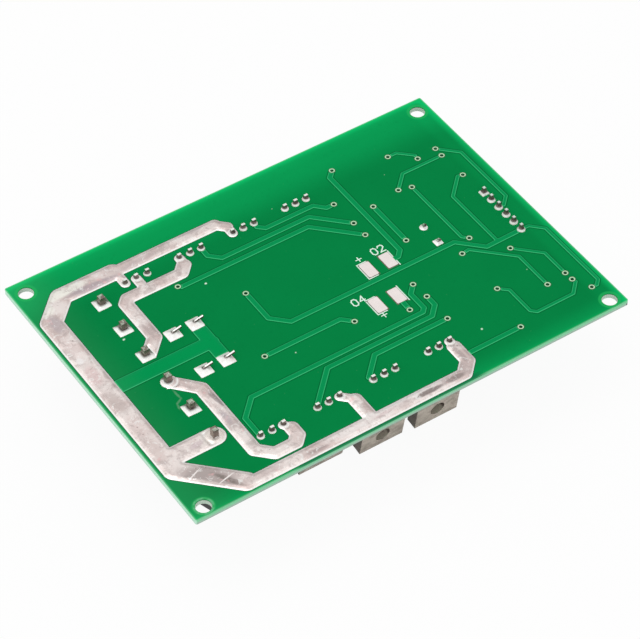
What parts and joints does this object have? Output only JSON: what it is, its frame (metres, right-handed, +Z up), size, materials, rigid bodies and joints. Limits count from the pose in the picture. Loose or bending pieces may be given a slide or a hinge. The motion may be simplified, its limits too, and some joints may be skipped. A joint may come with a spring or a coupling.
{
  "type": "motor driver board",
  "caption": "Flat circuit board lying solder side up on its power transistors, with wide tinned traces, masked tracks, screw terminals, round capacitors and a pin header below.",
  "frame": {"origin": "centre of the four mounting holes, on the solder face of the board", "axes": "+X along the long side away from the screw terminals, +Y to the far long side, +Z up out of the solder face"},
  "size_m": [0.1, 0.071, 0.0231],
  "materials": {
    "laminate": "green mask on both faces, pale edge",
    "masked_copper": "green mask over raised copper",
    "solder_coat": "uneven grey solder coat",
    "tinned_pad": "bright tinned pad",
    "solder": "solder joint",
    "moulding": "dusty dark moulding",
    "chip_moulding": "black moulding",
    "tinned_lead": "tinned lead",
    "can": "dark sleeve on an aluminium can",
    "seal": "rubber plug",
    "winding": "rolled foil and paper",
    "housing": "black moulding",
    "plated_steel": "plated steel",
    "header_plastic": "black moulding",
    "pin_gold": "plated pins",
    "resistor_body": "black film on ceramic",
    "ceramic_body": "tan ceramic",
    "lamp": "red lens"
  },
  "bodies": {
    "root": {"bare_pads": "tinned_pad", "capacitor_can_1": "can", "capacitor_can_2": "can", "capacitor_can_3": "can", "capacitor_joints": "solder", "capacitor_leads": "tinned_lead", "capacitor_seals": "seal", "capacitor_windings": "winding", "chip_ceramics": "ceramic_body", "chip_part_ends": "tinned_lead", "chip_resistors": "resistor_body", "circuit_board": "laminate", "component_side_pads": "solder_coat", "component_side_tracks": "masked_copper", "diode_cases": "chip_moulding", "diode_tabs": "tinned_lead", "driver_chip_1": "chip_moulding", "driver_chip_2": "chip_moulding", "driver_chip_3": "chip_moulding", "driver_chip_4": "chip_moulding", "driver_chip_leads": "tinned_lead", "far_output_trace": "solder_coat", "header_housing": "header_plastic", "header_joints": "solder", "header_pins": "pin_gold", "lamp_ends": "tinned_lead", "lamp_lens": "lamp", "logic_chip": "chip_moulding", "logic_chip_leads": "tinned_lead", "masked_tracks": "masked_copper", "near_output_trace": "solder_coat", "perimeter_trace": "solder_coat", "regulator_case": "chip_moulding", "regulator_frame": "tinned_lead", "terminal_clamps": "plated_steel", "terminal_contacts": "plated_steel", "terminal_housing": "housing", "terminal_joints": "solder", "terminal_screws": "plated_steel", "transistor_case_1": "moulding", "transistor_case_2": "moulding", "transistor_case_3": "moulding", "transistor_case_4": "moulding", "transistor_case_5": "moulding", "transistor_case_6": "moulding", "transistor_case_7": "moulding", "transistor_case_8": "moulding", "transistor_joints": "solder", "transistor_leads_1": "tinned_lead", "transistor_leads_2": "tinned_lead", "transistor_leads_3": "tinned_lead", "transistor_leads_4": "tinned_lead", "transistor_leads_5": "tinned_lead", "transistor_leads_6": "tinned_lead", "transistor_leads_7": "tinned_lead", "transistor_leads_8": "tinned_lead", "via_rings": "tinned_pad"}
  },
  "joints": []
}
